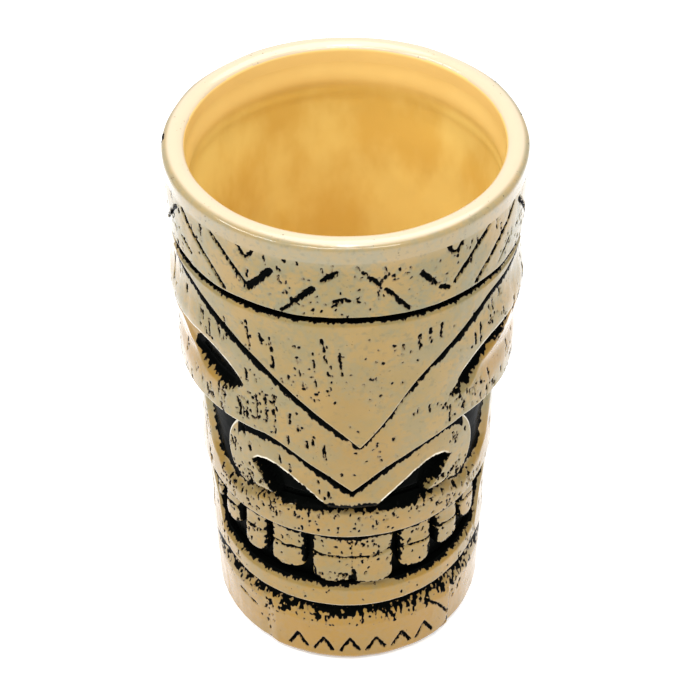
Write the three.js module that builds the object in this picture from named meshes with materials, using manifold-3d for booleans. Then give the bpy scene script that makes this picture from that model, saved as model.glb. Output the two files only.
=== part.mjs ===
// A tiki mug: a tapered ceramic cup whose wall carries a carved-looking mask.
//
// Millimetres, +Z up. The origin is the middle of the foot on the table, and the mask faces -Y.
// Every member of the mask is a curved block standing on the cup's wall. Its outline is given by
// the angle round the mug, in degrees from the mask's middle line (positive towards +X), and by
// the height above the table.

import * as THREE from 'three';
import { mergeVertices } from 'three/addons/utils/BufferGeometryUtils.js';
import Module from 'manifold-3d';

const wasm = await Module();
wasm.setup();

// ---------------------------------------------------------------- driving dimensions

const HEIGHT = 152; // table to the top of the lip
const LIP_HEIGHT = 4.7; // the smooth rounded lip above the rim band
const LIP_RADIUS = 45.05; // outside of the lip
const GAP = 0.3; // clear joint between neighbouring members
const LATHE_STEPS = 48; // facets round a turned member
const ANGLE_STEP = 4; // degrees between the sections of a curved block
const RING_STEP = 6; // and of a plain band, whose edges are level

const CAVITY_FLOOR = 9; // height of the drinking side of the floor
const CAVITY_FLOOR_RADIUS = 31; // the cavity's radius there
const CAVITY_MOUTH_RADIUS = 39.6; // and at the top of the lip
const FLOOR_FILLET = 6; // the round between the floor and the wall
const GLAZE = 0.7; // the glaze lining's thickness
const WALL = 1.6; // the plain wall behind the mask

const FOOT = { inner: 26, outer: 32.6, height: 2.2 };
const FLOOR_UNDERSIDE = FOOT.height + GAP;

const RIM_BAND = { low: 130.4, high: HEIGHT - LIP_HEIGHT - GAP, radius: 44.8 };
const ZIGZAG = { count: 6, low: 134.5, high: 145.5, width: 1.3, depth: 0.9 };

const FACE_TOP = 128.4; // the groove under the rim band begins here
const FACE_SIDE = 124; // the mask ends this many degrees from its middle line
const BACK = { low: 24, gap: 2, grooves: 9 };
const V_NOTCH = { tip: 87.5, top: 126.8, side: 70, power: 1.75 };
const BRIDGE = { tip: 73.1, side: 88.3, reach: 42, power: 1.7 };
const BROW = { inner: 37, tip: 101.8, side: 111.5, reach: 20 };
const EYE = { start: 40.5, socketEnd: 63, socketLow: 96.5 };
const NOSE = { reach: 49.5, shoulder: 39, middle: 75, low: 64.2, under: 1.8 };
const NOSTRIL = { start: 10, end: 37, floor: 2.2 };
const LIP_LINE = { low: 51.7, rise: 2.4, corner: 66, high: 62.4 };
const TOOTH = { radius: 38.9, crease: 0.7 };
const BASE = { low: 1, high: 20, radius: 37.1 };
const PLAQUE = { from: -38, to: 47, low: 1.4, high: 17.5, radius: 37.7 };
const CHEVRON = { count: 6, width: 1.1, rise: 4.5, reach: 4, depth: 0.8, middle: 7.2, pitch: 11 };

// [from, to, bottom, crease], in degrees and heights, left to right as the teeth hang
const TEETH = {
	tooth_left_5: [ - 66, - 61.5, 46, 50.3 ],
	tooth_left_4: [ - 59.5, - 48.6, 42, 48.4 ],
	tooth_left_3: [ - 47, - 35.2, 37.6, 45.8 ],
	tooth_left_2: [ - 33.4, - 18.6, 36.3, 44.4 ],
	tooth_left_1: [ - 15.9, - 0.5, 33.8, 43 ],
	tooth_right_1: [ 0.5, 16.7, 33.8, 43 ],
	tooth_right_2: [ 19, 33.4, 35.4, 43.8 ],
	tooth_right_3: [ 35.9, 47.8, 38.2, 45.8 ],
	tooth_right_4: [ 49.4, 59.9, 41.4, 48.8 ],
};

// ---------------------------------------------------------------- glazes

const glazes = {
	exterior: { color: 0xc9a873, roughness: 0.3, metalness: 0 },
	amber: { color: 0xcf9f5c, roughness: 0.25, metalness: 0 },
	lining: { color: 0xe6b765, roughness: 0.18, metalness: 0 },
	lip: { color: 0xf3d2a0, roughness: 0.18, metalness: 0 },
	wash: { color: 0x14110f, roughness: 0.5, metalness: 0 },
	bareClay: { color: 0xdccdb4, roughness: 0.85, metalness: 0 },
};

// ---------------------------------------------------------------- outlines of the mask

const { clamp, degToRad, lerp, smoothstep } = THREE.MathUtils;

/** The inner face of the glaze, which leans outwards up to the mouth. */
function cavityRadius( z ) {

	const slope = ( CAVITY_MOUTH_RADIUS - CAVITY_FLOOR_RADIUS ) / ( HEIGHT - CAVITY_FLOOR );
	return CAVITY_FLOOR_RADIUS + slope * ( z - CAVITY_FLOOR );

}

/** The outside of the plain wall, which shows in every groove. */
function groundRadius( z ) {

	return cavityRadius( z ) + GLAZE + GAP + WALL;

}

/** A soft swelling about one height, 1 at its middle. */
function swelling( z, middle, reach ) {

	return Math.exp( - ( ( ( z - middle ) / reach ) ** 2 ) );

}

/** The forehead's V-shaped lower edge, level with the sides of the brow at its ends. */
function notchLine( angle ) {

	const rest = 1 - Math.min( Math.abs( angle ) / V_NOTCH.side, 1 );
	return V_NOTCH.top - ( V_NOTCH.top - V_NOTCH.tip ) * rest ** V_NOTCH.power;

}

/** The overhanging lower edge of the brow's middle and of the eyes, which the nose tucks under. */
function bridgeLine( angle ) {

	const rest = 1 - Math.min( Math.abs( angle ) / BRIDGE.reach, 1 );
	return BRIDGE.side - ( BRIDGE.side - BRIDGE.tip ) * rest ** BRIDGE.power;

}

/** The lower edge of the brow over each eye. */
function browLine( angle ) {

	const rest = 1 - clamp( ( Math.abs( angle ) - BROW.inner ) / BROW.reach, 0, 1 );
	return BROW.side - ( BROW.side - BROW.tip ) * rest ** 1.8;

}

/** The lower edge of the upper lip, rising to the corners of the mouth. */
function upperLipLine( angle ) {

	return LIP_LINE.low + LIP_LINE.rise * Math.min( Math.abs( angle ) / LIP_LINE.corner, 1 ) ** 2;

}

/** The upper edge of the lower lip, which turns up at the corners of the mouth. */
function lowerLipLine( angle ) {

	const side = Math.abs( angle );
	const bowl = 31.6 + 1.6 * Math.min( side / 60, 1 ) ** 4;
	return lerp( bowl, upperLipLine( LIP_LINE.corner ) - 2 * GAP, smoothstep( side, 63, 74 ) );

}

/** The lower edge of the lower lip. */
function chinLine( angle ) {

	return 23.8 + 2.8 * Math.min( Math.abs( angle ) / 60, 1 ) ** 2;

}

/** The outer edge of the hollow round each wing of the nose. */
function cheekLine( angle ) {

	const side = Math.abs( angle );
	return lerp( 64.2 + 0.3 * ( side - 48 ), bridgeLine( side ) - 2, smoothstep( side, 60, 70 ) );

}

/** Half the height of the nose's round wing, as a share of its height at the shoulder. */
function wingShare( angle ) {

	const past = Math.max( Math.abs( angle ) - NOSE.shoulder, 0 ) / ( NOSE.reach - NOSE.shoulder );
	return Math.max( Math.sqrt( 1 - Math.min( past, 1 ) ** 2 ), 0.12 );

}

function noseTop( angle ) {

	const top = bridgeLine( Math.min( Math.abs( angle ), NOSE.shoulder ) ) - NOSE.under;
	return NOSE.middle + ( top - NOSE.middle ) * wingShare( angle );

}

function noseBottom( angle ) {

	return NOSE.middle - ( NOSE.middle - NOSE.low ) * wingShare( angle );

}

// ---------------------------------------------------------------- building blocks

/** A point at a radius, an angle in degrees and a height. */
function place( radius, angle, z ) {

	const a = degToRad( angle );
	return [ radius * Math.sin( a ), - radius * Math.cos( a ), z ];

}

/** Turns every face outwards if the closed geometry is inside out. */
function faceOutwards( geometry ) {

	const p = geometry.attributes.position;
	const index = geometry.index.array;
	const [ a, b, c ] = [ new THREE.Vector3(), new THREE.Vector3(), new THREE.Vector3() ];
	let volume = 0;
	for ( let i = 0; i < index.length; i += 3 ) {

		a.fromBufferAttribute( p, index[ i ] );
		b.fromBufferAttribute( p, index[ i + 1 ] );
		c.fromBufferAttribute( p, index[ i + 2 ] );
		volume += a.dot( b.cross( c ) );

	}

	if ( volume < 0 ) index.reverse();
	geometry.computeVertexNormals();
	return geometry;

}

/** Evenly spaced angles from one end to the other, with one at the middle. */
function spread( from, to, step = ANGLE_STEP ) {

	const count = 2 * Math.ceil( Math.abs( to - from ) / step / 2 );
	return Array.from( { length: count + 1 }, ( _, i ) => lerp( from, to, i / count ) );

}

/** A closed body through one outline of [radius, height] pairs at each angle. */
function loft( angles, outlineAt, ring = false ) {

	const outlines = angles.map( outlineAt );
	const size = outlines[ 0 ].length;
	const points = angles.flatMap( ( angle, i ) => outlines[ i ].map( ( [ r, z ] ) => place( r, angle, z ) ) );
	const faces = [];
	const spans = ring ? angles.length : angles.length - 1;
	for ( let i = 0; i < spans; i ++ ) {

		const next = ( i + 1 ) % angles.length;
		for ( let k = 0; k < size; k ++ ) {

			const up = ( k + 1 ) % size;
			const [ a, b, c, d ] = [ i * size + k, next * size + k, next * size + up, i * size + up ];
			faces.push( a, b, c, a, c, d );

		}

	}

	if ( ! ring ) {

		const { area, triangulateShape } = THREE.ShapeUtils;
		for ( const at of [ 0, angles.length - 1 ] ) {

			const flat = outlines[ at ].map( ( [ r, z ] ) => new THREE.Vector2( r, z ) );
			for ( const cap of triangulateShape( flat, [] ) ) {

				const sameWay = area( flat ) * area( cap.map( ( k ) => flat[ k ] ) ) > 0;
				if ( sameWay !== ( at === 0 ) ) cap.reverse();
				faces.push( ...cap.map( ( k ) => at * size + k ) );

			}

		}

	}

	const geometry = new THREE.BufferGeometry();
	geometry.setAttribute( 'position', new THREE.Float32BufferAttribute( points.flat(), 3 ) );
	geometry.setIndex( new THREE.Uint32BufferAttribute( faces, 1 ) );
	return faceOutwards( geometry );

}

/** The rows of a block's face, as shares of its height, with the radius lost at each for a soft edge. */
const SOFT_ROWS = [ [ 0, 1.1 ], [ 0.08, 0.35 ], [ 0.3, 0 ], [ 0.7, 0 ], [ 0.92, 0.3 ], [ 1, 0.9 ] ];
const PLAIN_ROWS = [ [ 0, 0.6 ], [ 0.1, 0 ], [ 0.9, 0 ], [ 1, 0.6 ] ];

/** A curved block on the wall, between two edge lines, with a face at the given radius. */
function block( { from, to, low, high, radius, rows = PLAIN_ROWS, step, ring = false } ) {

	const angles = ring ? spread( from, to, step ).slice( 0, - 1 ) : spread( from, to, step );
	return loft( angles, ( angle ) => {

		const [ zLow, zHigh ] = [ low( angle ), high( angle ) ];
		const back = [ zHigh, zLow ].map( ( z ) => [ groundRadius( z ) + GAP, z ] );
		const face = rows.map( ( [ share, lost ] ) => {

			const z = lerp( zLow, zHigh, share );
			return [ radius( angle, z ) - lost, z ];

		} );
		return [ ...face, ...back ];

	}, ring );

}

/** A member turned about the mug's axis from a closed [radius, height] profile. */
function turned( profile ) {

	const closed = profile[ 0 ][ 0 ] === 0 ? profile : [ ...profile, profile[ 0 ] ];
	const lathe = new THREE.LatheGeometry( closed.map( ( [ r, z ] ) => new THREE.Vector2( r, z ) ), LATHE_STEPS );
	lathe.rotateX( Math.PI / 2 );
	lathe.deleteAttribute( 'normal' );
	lathe.deleteAttribute( 'uv' );
	return faceOutwards( dropSlivers( mergeVertices( lathe, 1e-3 ) ) );

}

/** Leaves out the faces that shrink to nothing on the axis. */
function dropSlivers( geometry ) {

	const index = geometry.index.array;
	const kept = [];
	for ( let i = 0; i < index.length; i += 3 ) {

		const [ a, b, c ] = index.slice( i, i + 3 );
		if ( a !== b && b !== c && a !== c ) kept.push( a, b, c );

	}

	geometry.setIndex( new THREE.Uint32BufferAttribute( kept, 1 ) );
	return geometry;

}

function toSolid( geometry ) {

	const bare = geometry.clone();
	for ( const extra of [ 'normal', 'uv' ] ) bare.deleteAttribute( extra );
	const merged = mergeVertices( bare, 1e-4 );
	return new wasm.Manifold( new wasm.Mesh( {
		numProp: 3,
		vertProperties: new Float32Array( merged.attributes.position.array ),
		triVerts: new Uint32Array( merged.index.array ),
	} ) );

}

/** The geometry with each of the cutters taken away from it. */
function cut( geometry, cutters ) {

	const solid = cutters.reduce( ( left, cutter ) => left.subtract( toSolid( cutter ) ), toSolid( geometry ) );
	const { vertProperties, triVerts } = solid.getMesh();
	const result = new THREE.BufferGeometry();
	result.setAttribute( 'position', new THREE.Float32BufferAttribute( vertProperties, 3 ) );
	result.setIndex( new THREE.Uint32BufferAttribute( triVerts, 1 ) );
	result.computeVertexNormals();
	return result;

}

/** A cutter for one straight stroke between two [angle, height] points, sunk below the radius. */
function stroke( [ a0, z0 ], [ a1, z1 ], { width, depth }, radius ) {

	const start = new THREE.Vector3( ...place( radius, a0, z0 ) );
	const end = new THREE.Vector3( ...place( radius, a1, z1 ) );
	const along = end.clone().sub( start );
	const out = start.clone().add( end ).setZ( 0 ).normalize();
	const across = new THREE.Vector3().crossVectors( out, along ).normalize();
	const bar = new THREE.BoxGeometry( along.length() + width, width, 2 * depth + 2 );
	bar.applyMatrix4( new THREE.Matrix4().makeBasis( along.clone().normalize(), across, out ) );
	const middle = start.add( end ).multiplyScalar( 0.5 ).addScaledVector( out, 1 );
	return bar.translate( middle.x, middle.y, middle.z );

}

// ---------------------------------------------------------------- the cup

/** The round between a floor at one height and a wall, grown outwards by an offset. */
function floorRound( offset ) {

	const centre = [ CAVITY_FLOOR_RADIUS + 0.3 - FLOOR_FILLET, CAVITY_FLOOR + FLOOR_FILLET ];
	return spread( 270, 360, 22.5 ).map( ( angle ) => {

		const a = degToRad( angle );
		const r = FLOOR_FILLET + offset;
		return [ centre[ 0 ] + r * Math.cos( a ), centre[ 1 ] + r * Math.sin( a ) ];

	} );

}

function cupWall() {

	const top = RIM_BAND.high;
	const floorTop = CAVITY_FLOOR - GLAZE - GAP;
	return turned( [
		[ 0, FLOOR_UNDERSIDE ],
		[ groundRadius( FLOOR_UNDERSIDE ), FLOOR_UNDERSIDE ],
		[ groundRadius( top ), top ],
		[ cavityRadius( top ) + GLAZE + GAP, top ],
		...floorRound( GLAZE + GAP ).reverse(),
		[ 0, floorTop ],
	] );

}

function glazeLining() {

	const top = RIM_BAND.high;
	return turned( [
		[ 0, CAVITY_FLOOR - GLAZE ],
		...floorRound( GLAZE ),
		[ cavityRadius( top ) + GLAZE, top ],
		[ cavityRadius( top ), top ],
		...floorRound( 0 ).reverse(),
		[ 0, CAVITY_FLOOR ],
	] );

}

function footRing() {

	const { inner, outer, height } = FOOT;
	return turned( [ [ inner, 0 ], [ outer, 0 ], [ outer, height ], [ inner, height ] ] );

}

/** The smooth lip: a flattened half round over the wall's whole thickness. */
function mouthLip() {

	const low = HEIGHT - LIP_HEIGHT;
	const inner = cavityRadius( low );
	const half = ( LIP_RADIUS - inner ) / 2;
	const round = spread( 0, 180, 30 ).map( ( angle ) => {

		const a = degToRad( angle );
		return [ inner + half + half * Math.cos( a ), HEIGHT - half * ( 1 - Math.sin( a ) ) ];

	} );
	return turned( [ [ inner, low ], [ LIP_RADIUS, low ], ...round ] );

}

/** The band under the lip, with a row of V strokes between taller peaks cut into it. */
function rimBand() {

	const band = block( {
		from: 0, to: 360, ring: true, step: RING_STEP,
		low: () => RIM_BAND.low,
		high: () => RIM_BAND.high,
		radius: () => RIM_BAND.radius,
	} );
	const { count, low, high } = ZIGZAG;
	const turn = 360 / count;
	const cutters = [];
	for ( let i = 0; i < count; i ++ ) {

		const middle = ( i + 0.5 ) * turn;
		for ( const side of [ - 1, 1 ] ) {

			const bottom = [ middle, low ];
			cutters.push( stroke( bottom, [ middle + side * 11, high - 1 ], ZIGZAG, RIM_BAND.radius ) );
			const foot = [ middle + side * 10, RIM_BAND.low + 1 ];
			cutters.push( stroke( foot, [ middle + side * 27, high ], ZIGZAG, RIM_BAND.radius ) );

		}

	}

	return cut( band, cutters );

}

// ---------------------------------------------------------------- the mask

function foreheadPlate() {

	return block( {
		from: - 66, to: 66,
		low: ( a ) => notchLine( a ) + GAP,
		high: () => FACE_TOP,
		radius: ( a, z ) => 44.4 - 0.6 * smoothstep( 128 - z, 0, 40 ),
	} );

}

/** The brow runs round both sides of the mask and comes down between the eyes as a V. */
function browBand() {

	const middle = BROW.inner;
	return block( {
		from: - FACE_SIDE, to: FACE_SIDE, rows: SOFT_ROWS,
		low: ( a ) => Math.abs( a ) < middle ? bridgeLine( a ) : browLine( a ) + GAP,
		high: ( a ) => lerp( notchLine( a ) - GAP, FACE_TOP, smoothstep( Math.abs( a ), 68, 80 ) ),
		radius: ( a, z ) => 43.9 + 1.3 * smoothstep( Math.abs( a ), 30, 70 ) * swelling( z, 113.5, 7 ),
	} );

}

/** One eye: a smooth bulge under the brow, hollowed into a socket at its inner corner. */
function eye( side ) {

	const ball = block( {
		from: side * EYE.start, to: side * FACE_SIDE, rows: SOFT_ROWS,
		low: () => BRIDGE.side,
		high: ( a ) => browLine( a ) - GAP,
		radius: ( a, z ) => 42.6 + 1.2 * swelling( z, 91, 8 ),
	} );
	const socket = loft( spread( side * ( EYE.start - 2 ), side * EYE.socketEnd ), ( a ) => {

		const reach = ( Math.abs( a ) - EYE.start + 2 ) / ( EYE.socketEnd - EYE.start + 2 );
		const low = lerp( EYE.socketLow, browLine( EYE.socketEnd ) - 4, reach ** 3 );
		return [ [ 40.6, BROW.side + 1 ], [ 50, BROW.side + 1 ], [ 50, low - 4 ], [ 42.4, low ], [ 40.6, low + 2 ] ];

	} );
	return cut( ball, [ socket ] );

}

/** The wide nose, with a slanting hollow for each nostril. */
function nose() {

	const body = block( {
		from: - NOSE.reach, to: NOSE.reach, rows: SOFT_ROWS, step: 3,
		low: noseBottom, high: noseTop,
		radius: ( a ) => 42.2 - 0.8 * ( Math.abs( a ) / NOSE.reach ) ** 2,
	} );
	const { start, end, floor } = NOSTRIL;
	const nostrils = [ - 1, 1 ].map( ( side ) => loft( spread( side * start, side * end ), ( a ) => {

		const share = ( Math.abs( a ) - start ) / ( end - start );
		const top = 65.5 + 11.2 * Math.sin( share * 2 );
		const low = 62 + 12 * smoothstep( share, 0.45, 1.05 );
		const back = groundRadius( 68 ) + floor;
		return [ [ back, low ], [ back, top - 1 ], [ back + 0.8, top ], [ 50, top ], [ 50, low ] ];

	} ) );
	return cut( body, nostrils );

}

function cheek( side ) {

	return block( {
		from: side * 49, to: side * FACE_SIDE,
		low: () => LIP_LINE.high + GAP,
		high: ( a ) => cheekLine( a ),
		radius: () => 39.6,
	} );

}

function upperLip() {

	return block( {
		from: - FACE_SIDE, to: FACE_SIDE,
		low: upperLipLine,
		high: () => LIP_LINE.high,
		radius: ( a ) => 40.5 - 0.8 * Math.min( Math.abs( a ) / 70, 1 ),
	} );

}

/** One tooth: a block with a round bottom and a crease across it. */
function tooth( [ from, to, bottom, crease ] ) {

	const middle = ( from + to ) / 2;
	const half = ( to - from ) / 2;
	return loft( spread( from, to, 2.5 ), ( a ) => {

		const off = ( a - middle ) / half;
		const low = bottom + 3 * ( 1 - Math.sqrt( 1 - 0.96 * off * off ) );
		const high = upperLipLine( a ) - GAP;
		const face = TOOTH.radius - 0.5 * off ** 4;
		return [
			[ groundRadius( high ) + GAP, high ],
			[ groundRadius( low ) + GAP, low ],
			[ face - 0.9, low ],
			[ face, low + 1.2 ],
			[ face, crease - 0.5 ],
			[ face - TOOTH.crease, crease ],
			[ face, crease + 0.5 ],
			[ face, high ],
		];

	} );

}

function lowerLip() {

	return block( {
		from: - FACE_SIDE, to: FACE_SIDE,
		low: chinLine, high: lowerLipLine,
		radius: () => 38.6,
	} );

}

/** The plain back of the log, with upright grooves of wood grain. */
function backPanel() {

	const from = FACE_SIDE + BACK.gap;
	const to = 360 - from;
	const panel = block( {
		from, to,
		low: () => BACK.low,
		high: () => FACE_TOP,
		radius: ( a, z ) => lerp( 37.6, 44.3, ( z - BACK.low ) / ( FACE_TOP - BACK.low ) ),
	} );
	const pitch = ( to - from ) / ( BACK.grooves + 1 );
	const grain = Array.from( { length: BACK.grooves }, ( _, i ) => {

		const angle = from + pitch * ( i + 1 );
		const low = BACK.low + 8 + 11 * ( i % 3 );
		const high = FACE_TOP - 10 - 9 * ( ( i + 1 ) % 3 );
		return loft( [ angle - 0.9, angle, angle + 0.9 ], ( a ) => [ low, high ].flatMap( ( z ) => {

			const face = lerp( 37.6, 44.3, ( z - BACK.low ) / ( FACE_TOP - BACK.low ) );
			const inner = a === angle ? face - 0.8 : face - 0.1;
			return z === low ? [ [ 50, z ], [ inner, z ] ] : [ [ inner, z ], [ 50, z ] ];

		} ) );

	} );
	return cut( panel, grain );

}

// ---------------------------------------------------------------- the base

const BASE_ROWS = [ [ 0, 1.6 ], [ 0.05, 0.6 ], [ 0.15, 0 ], [ 0.85, 0 ], [ 1, 1.2 ] ];

/** The base runs round the mug from one end of the plaque to the other. */
function baseBand() {

	return block( {
		from: PLAQUE.to + 1.5, to: 360 + PLAQUE.from - 1.5, rows: BASE_ROWS, step: RING_STEP,
		low: () => BASE.low,
		high: () => BASE.high,
		radius: () => BASE.radius,
	} );

}

/** The raised plaque under the chin, with a row of chevrons cut into it. */
function basePlaque() {

	const body = block( {
		from: PLAQUE.from, to: PLAQUE.to, rows: BASE_ROWS,
		low: () => PLAQUE.low,
		high: () => PLAQUE.high,
		radius: () => PLAQUE.radius,
	} );
	const { count, rise, reach, middle, pitch } = CHEVRON;
	const centre = ( PLAQUE.from + PLAQUE.to ) / 2;
	const cutters = [];
	for ( let i = 0; i < count; i ++ ) {

		const tip = centre + pitch * ( i - ( count - 1 ) / 2 );
		for ( const side of [ - 1, 1 ] ) {

			const [ high, low ] = [ [ tip, middle + rise / 2 ], [ tip + side * reach, middle - rise / 2 ] ];
			cutters.push( stroke( high, low, CHEVRON, PLAQUE.radius ) );

		}

	}

	return cut( body, cutters );

}

// ---------------------------------------------------------------- the mug

const mug = new THREE.Group();

function add( name, geometry, glaze ) {

	const mesh = new THREE.Mesh( geometry, new THREE.MeshStandardMaterial( glaze ) );
	mesh.name = name;
	mug.add( mesh );

}

add( 'foot_ring', footRing(), glazes.bareClay );
add( 'cup_wall', cupWall(), glazes.wash );
add( 'inner_glaze_lining', glazeLining(), glazes.lining );
add( 'mouth_lip', mouthLip(), glazes.lip );
add( 'rim_band', rimBand(), glazes.exterior );
add( 'forehead_plate', foreheadPlate(), glazes.exterior );
add( 'brow_band', browBand(), glazes.exterior );
add( 'nose', nose(), glazes.exterior );
add( 'upper_lip', upperLip(), glazes.exterior );
add( 'lower_lip', lowerLip(), glazes.amber );
for ( const [ name, side ] of [ [ 'left', - 1 ], [ 'right', 1 ] ] ) {

	add( `${ name }_eye`, eye( side ), glazes.amber );
	add( `${ name }_cheek`, cheek( side ), glazes.amber );

}

for ( const [ name, size ] of Object.entries( TEETH ) ) add( name, tooth( size ), glazes.exterior );
add( 'back_panel', backPanel(), glazes.exterior );
add( 'base_band', baseBand(), glazes.amber );
add( 'base_plaque', basePlaque(), glazes.amber );

export default mug;
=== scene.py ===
import math

import bpy
import numpy as np
from mathutils import Matrix, Vector


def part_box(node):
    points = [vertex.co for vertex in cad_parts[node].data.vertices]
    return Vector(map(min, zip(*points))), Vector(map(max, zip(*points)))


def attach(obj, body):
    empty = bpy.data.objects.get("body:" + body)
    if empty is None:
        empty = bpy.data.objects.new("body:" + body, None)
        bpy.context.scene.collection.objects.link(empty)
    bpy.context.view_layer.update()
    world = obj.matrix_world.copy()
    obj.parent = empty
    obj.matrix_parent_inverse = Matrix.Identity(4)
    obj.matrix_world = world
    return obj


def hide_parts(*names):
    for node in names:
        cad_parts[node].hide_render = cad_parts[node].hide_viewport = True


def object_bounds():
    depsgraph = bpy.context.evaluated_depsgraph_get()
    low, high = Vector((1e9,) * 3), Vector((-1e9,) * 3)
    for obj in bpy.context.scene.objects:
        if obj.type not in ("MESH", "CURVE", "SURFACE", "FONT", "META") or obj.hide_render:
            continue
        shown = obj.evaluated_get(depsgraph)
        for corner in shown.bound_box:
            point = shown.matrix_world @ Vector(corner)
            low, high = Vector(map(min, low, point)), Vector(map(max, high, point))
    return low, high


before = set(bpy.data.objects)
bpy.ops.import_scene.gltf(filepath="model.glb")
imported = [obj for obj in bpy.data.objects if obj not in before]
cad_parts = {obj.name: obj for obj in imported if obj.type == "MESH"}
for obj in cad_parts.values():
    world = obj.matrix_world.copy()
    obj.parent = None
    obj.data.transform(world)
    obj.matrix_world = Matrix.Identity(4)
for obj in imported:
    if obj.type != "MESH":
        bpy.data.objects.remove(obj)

CAD_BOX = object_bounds()
M = 0.001


def low_of(node):
    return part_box(node)[0].z / M


def high_of(node):
    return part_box(node)[1].z / M


# ---- driving dimensions

HEIGHT = CAD_BOX[1].z / M
LIP_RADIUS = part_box("mouth_lip")[1].x / M
LIP_LOW = low_of("mouth_lip") - 0.3
RIM_LOW = low_of("rim_band")
FACE_TOP = high_of("forehead_plate")
CAVITY_FLOOR = high_of("foot_ring") + 6.8
CAVITY_FLOOR_RADIUS, CAVITY_MOUTH_RADIUS = 31.0, 39.6
FLOOR_FILLET = 6.0
GROUND_BEHIND = 2.6  # from the cavity's face to the black ground of the grooves
BASE_LOW = low_of("base_band")
FACE_SIDE = 124.0
BACK_START, BACK_LOW = FACE_SIDE + 2.0, 24.0
BROW_INNER = 37.2
MM_PER_DEG = math.radians(1) * 42  # along the wall, at the mask's middle radius
PLAQUE = (-38.0, 47.0)
NOSE_REACH, NOSE_SHOULDER = 49.5, 39.0
NOSE_MIDDLE, NOSE_LOW = 75.0, low_of("nose")
MOUTH_HIGH = high_of("upper_lip")

# from, to, bottom and crease
TEETH = {
    "tooth_left_5": (-66.0, -61.5, 46.0, 50.3),
    "tooth_left_4": (-59.5, -48.6, 42.0, 48.4),
    "tooth_left_3": (-47.0, -35.2, 37.6, 45.8),
    "tooth_left_2": (-33.4, -18.6, 36.3, 44.4),
    "tooth_left_1": (-15.9, -0.05, 33.4, 43.0),
    "tooth_right_1": (0.05, 16.7, 32.6, 43.0),
    "tooth_right_2": (19.0, 33.4, 35.4, 43.8),
    "tooth_right_3": (35.9, 47.8, 38.2, 45.8),
    "tooth_right_4": (49.4, 59.9, 41.4, 48.8),
}


# ---- numbers over the surface


def smooth(x, low=0.0, high=1.0):
    t = np.clip((x - low) / (high - low), 0, 1)
    return t * t * (3 - 2 * t)


def bump(x, middle, reach):
    return np.exp(-(((x - middle) / reach) ** 2))


def between(grid, i, j, across, up):
    """A value between neighbours of a grid that joins up round the mug."""
    i0, i1 = i % len(grid), (i + 1) % len(grid)
    low = grid[i0, j] * (1 - across) + grid[i1, j] * across
    high = grid[i0, j + 1] * (1 - across) + grid[i1, j + 1] * across
    return low * (1 - up) + high * up


def noise(theta, z, cell_deg, cell_mm, seed):
    """Smooth noise from -1 to 1 that joins up round the mug."""
    across, up = round(360 / cell_deg), int(170 / cell_mm) + 3
    lattice = np.random.default_rng(seed).uniform(-1, 1, (across, up))
    u, v = (theta % 360) / 360 * across, (z + 8) / cell_mm
    i, j = np.floor(u).astype(int), np.clip(np.floor(v).astype(int), 0, up - 2)
    return between(lattice, i, j, smooth(u - i), smooth(v - j))


def through(x, *points):
    """A line through [place, value] points."""
    xs, ys = zip(*points)
    return np.interp(x, xs, ys)


# ---- outlines of the mask


def cavity_radius(z):
    slope = (CAVITY_MOUTH_RADIUS - CAVITY_FLOOR_RADIUS) / (HEIGHT - CAVITY_FLOOR)
    return CAVITY_FLOOR_RADIUS + slope * (z - CAVITY_FLOOR)


def ground_radius(z):
    return cavity_radius(z) + GROUND_BEHIND


def notch_line(t):
    """The forehead's lower edge, a V whose right arm climbs a little faster."""
    off = np.abs(t - 2.6 * bump(t, 4, 14))
    faster = 2.0 * smooth(t, 8, 22) * (1 - smooth(t, 48, 62))
    return 126.8 - 39.3 * (1 - np.clip(off / 70, 0, 1)) ** 1.75 + faster


def bridge_line(t):
    """The lower edge of the V between the eyes, which then runs level along both of them."""
    arms = 88.3 - 15.2 * (1 - np.clip(np.abs(t) / 42, 0, 1)) ** 1.7
    return np.minimum(arms + 1.9 * smooth(-t, 12, 26), 88.3) - 1.4 * bump(t, 0, 7)


def brow_line(t):
    return 111.5 - 9.7 * (1 - np.clip((np.abs(t) - 37) / 20, 0, 1)) ** 1.8


def upper_lip_line(t):
    return 51.7 + 2.4 * np.clip(np.abs(t) / 66, 0, 1) ** 2


def lower_lip_line(t):
    side = np.abs(t)
    bowl = 31.6 + 1.6 * np.minimum(side / 60, 1) ** 4
    return bowl + (upper_lip_line(66.0) - 0.6 - bowl) * smooth(side, 63, 74)


def chin_line(t):
    return 23.8 + 2.8 * np.clip(np.abs(t) / 60, 0, 1) ** 2


def wing_share(t):
    past = (np.abs(t) - NOSE_SHOULDER) / (NOSE_REACH - NOSE_SHOULDER)
    return np.maximum(np.sqrt(1 - np.clip(past, 0, 1) ** 2), 0.12)


def nose_top(t):
    top = bridge_line(np.clip(t, -NOSE_SHOULDER, NOSE_SHOULDER)) - 1.6
    return NOSE_MIDDLE + (top - NOSE_MIDDLE) * wing_share(t)


def nose_bottom(t):
    return NOSE_MIDDLE - (NOSE_MIDDLE - NOSE_LOW) * wing_share(t)


def nostril_top(t):
    points = (9, 66.0), (15.5, 70.3), (22.5, 74.4), (27, 76.2), (31, 76.8), (35, 76.2), (37.5, 74.5)
    return through(np.abs(t), *points)


def nostril_low(t):
    points = (9, 60.5), (22, 60.8), (26, 62.6), (29, 65.6), (32, 68.4), (35, 71.2), (38, 74.4)
    return through(np.abs(t), *points)


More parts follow.
